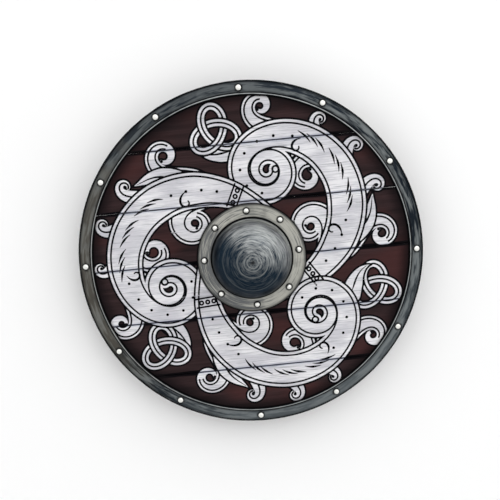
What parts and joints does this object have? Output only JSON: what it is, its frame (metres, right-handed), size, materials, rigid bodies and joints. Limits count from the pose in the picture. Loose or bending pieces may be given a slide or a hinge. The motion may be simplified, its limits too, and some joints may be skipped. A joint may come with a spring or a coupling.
{
  "type": "wooden round shield",
  "caption": "Round shield of stained boards with painted scrollwork, a riveted steel rim, a domed steel boss over the hand hole, and a grip and battens behind.",
  "frame": {"origin": "under the centre of the shield, on the surface that its battens rest on", "axes": "+Z out of the painted face, +X along the boards, +Y along the grip and the battens"},
  "size_m": [0.61, 0.61, 0.0873],
  "materials": {
    "painted_planks": "dark red-brown stain with a worn white painted design, satin",
    "rim_steel": "blackened steel, rubbed bright along its length",
    "boss_steel": "spun steel with a dark patina on the dome",
    "rivet_steel": "bright domed heads",
    "screw_steel": "zinc plated, slotted",
    "grip_wood": "oiled hardwood, polished by the hand at its middle",
    "batten_wood": "stained softwood"
  },
  "bodies": {
    "root": {"batten_left": "batten_wood", "batten_left_screw_1": "screw_steel", "batten_left_screw_2": "screw_steel", "batten_left_screw_3": "screw_steel", "batten_left_screw_4": "screw_steel", "batten_left_screw_5": "screw_steel", "batten_left_screw_6": "screw_steel", "batten_right": "batten_wood", "batten_right_screw_1": "screw_steel", "batten_right_screw_2": "screw_steel", "batten_right_screw_3": "screw_steel", "batten_right_screw_4": "screw_steel", "batten_right_screw_5": "screw_steel", "batten_right_screw_6": "screw_steel", "boss": "boss_steel", "boss_rivet_1": "rivet_steel", "boss_rivet_2": "rivet_steel", "boss_rivet_3": "rivet_steel", "boss_rivet_4": "rivet_steel", "boss_rivet_5": "rivet_steel", "boss_rivet_6": "rivet_steel", "boss_rivet_7": "rivet_steel", "boss_rivet_8": "rivet_steel", "grip": "grip_wood", "grip_screw_1": "screw_steel", "grip_screw_2": "screw_steel", "grip_screw_3": "screw_steel", "grip_screw_4": "screw_steel", "plank_1": "painted_planks", "plank_2": "painted_planks", "plank_3": "painted_planks", "plank_4": "painted_planks", "plank_5": "painted_planks", "plank_6": "painted_planks", "rim_band": "rim_steel", "rim_rivet_01": "rivet_steel", "rim_rivet_02": "rivet_steel", "rim_rivet_03": "rivet_steel", "rim_rivet_04": "rivet_steel", "rim_rivet_05": "rivet_steel", "rim_rivet_06": "rivet_steel", "rim_rivet_07": "rivet_steel", "rim_rivet_08": "rivet_steel", "rim_rivet_09": "rivet_steel", "rim_rivet_10": "rivet_steel", "rim_rivet_11": "rivet_steel", "rim_rivet_12": "rivet_steel"}
  },
  "joints": []
}
